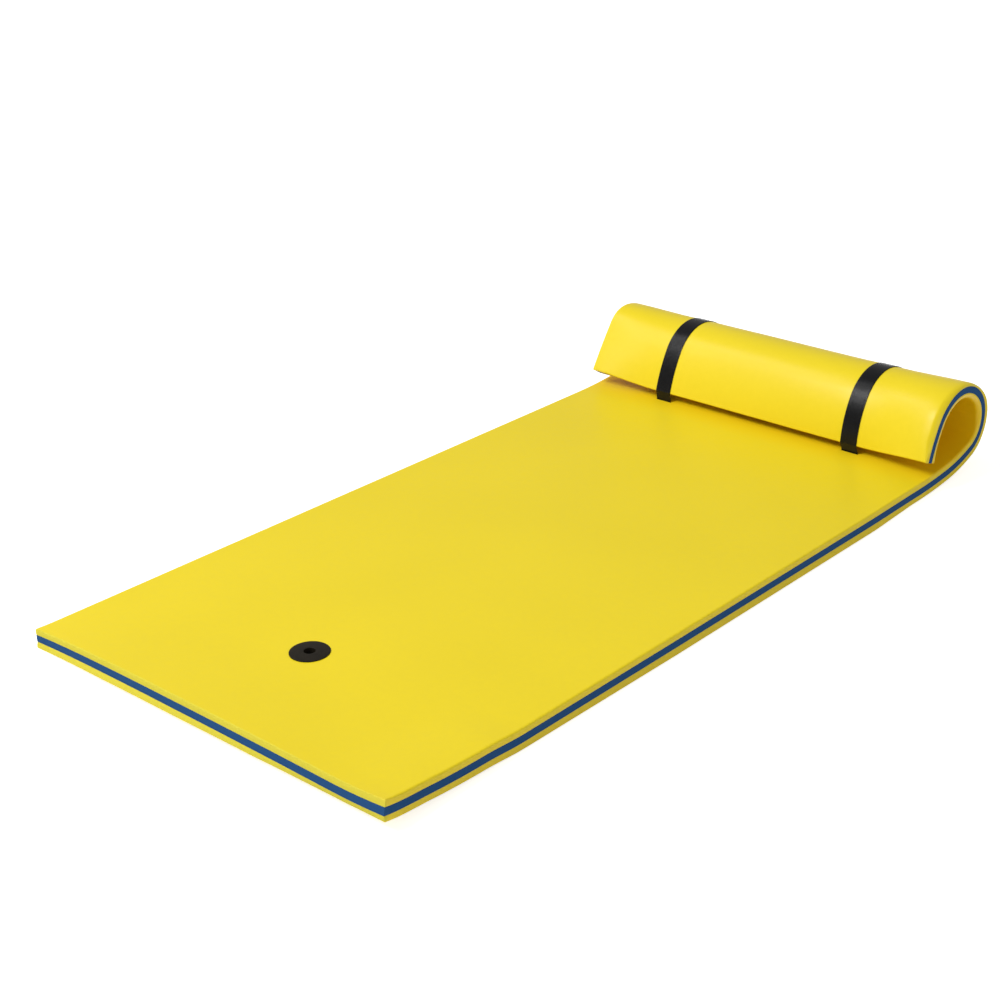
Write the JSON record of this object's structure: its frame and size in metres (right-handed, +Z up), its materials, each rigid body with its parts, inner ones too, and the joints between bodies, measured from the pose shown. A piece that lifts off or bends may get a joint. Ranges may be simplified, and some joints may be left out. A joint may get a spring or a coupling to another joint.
{
  "type": "swim float mat",
  "caption": "Laminated foam swim mat whose head end is rolled into a pillow, held by hook-and-loop straps, with a grommet near the foot for a mooring line.",
  "frame": {"origin": "on the floor that the mat lies on, at the middle of its width and of its length as it lies, pillow rolled", "axes": "+X to the right seen from the foot, +Y from the foot to the pillow, +Z up"},
  "size_m": [0.9, 1.8038, 0.2125],
  "materials": {
    "yellow_foam": "soft satin skin of closed-cell foam, finely pored where it is cut",
    "blue_foam": "matte cut edge of closed-cell foam",
    "black_webbing": "woven synthetic webbing",
    "black_hook_tape": "moulded hook tape",
    "black_loop_tape": "brushed loop pile",
    "black_plastic": "moulded satin plastic"
  },
  "bodies": {
    "mat": {"foam_top_layer": "yellow_foam", "foam_core_layer": "blue_foam", "foam_bottom_layer": "yellow_foam", "grommet_top": "black_plastic", "grommet_bottom": "black_plastic", "strap_left_band": "black_webbing", "strap_left_loop_patch": "black_loop_tape", "strap_right_band": "black_webbing", "strap_right_loop_patch": "black_loop_tape"},
    "left_tail": {"strap_left_tail": "black_webbing", "strap_left_hook_patch": "black_hook_tape"},
    "right_tail": {"strap_right_tail": "black_webbing", "strap_right_hook_patch": "black_hook_tape"}
  },
  "joints": [
    {"name": "strap_left_tail_peel", "type": "hinge", "parent": "mat", "child": "left_tail", "pos_m": [-0.25, 0.88596, 0.14857], "axis": [1, 0, 0], "range_deg": [0, 150]},
    {"name": "strap_right_tail_peel", "type": "hinge", "parent": "mat", "child": "right_tail", "pos_m": [0.25, 0.87771, 0.14865], "axis": [1, 0, 0], "range_deg": [0, 150]}
  ]
}
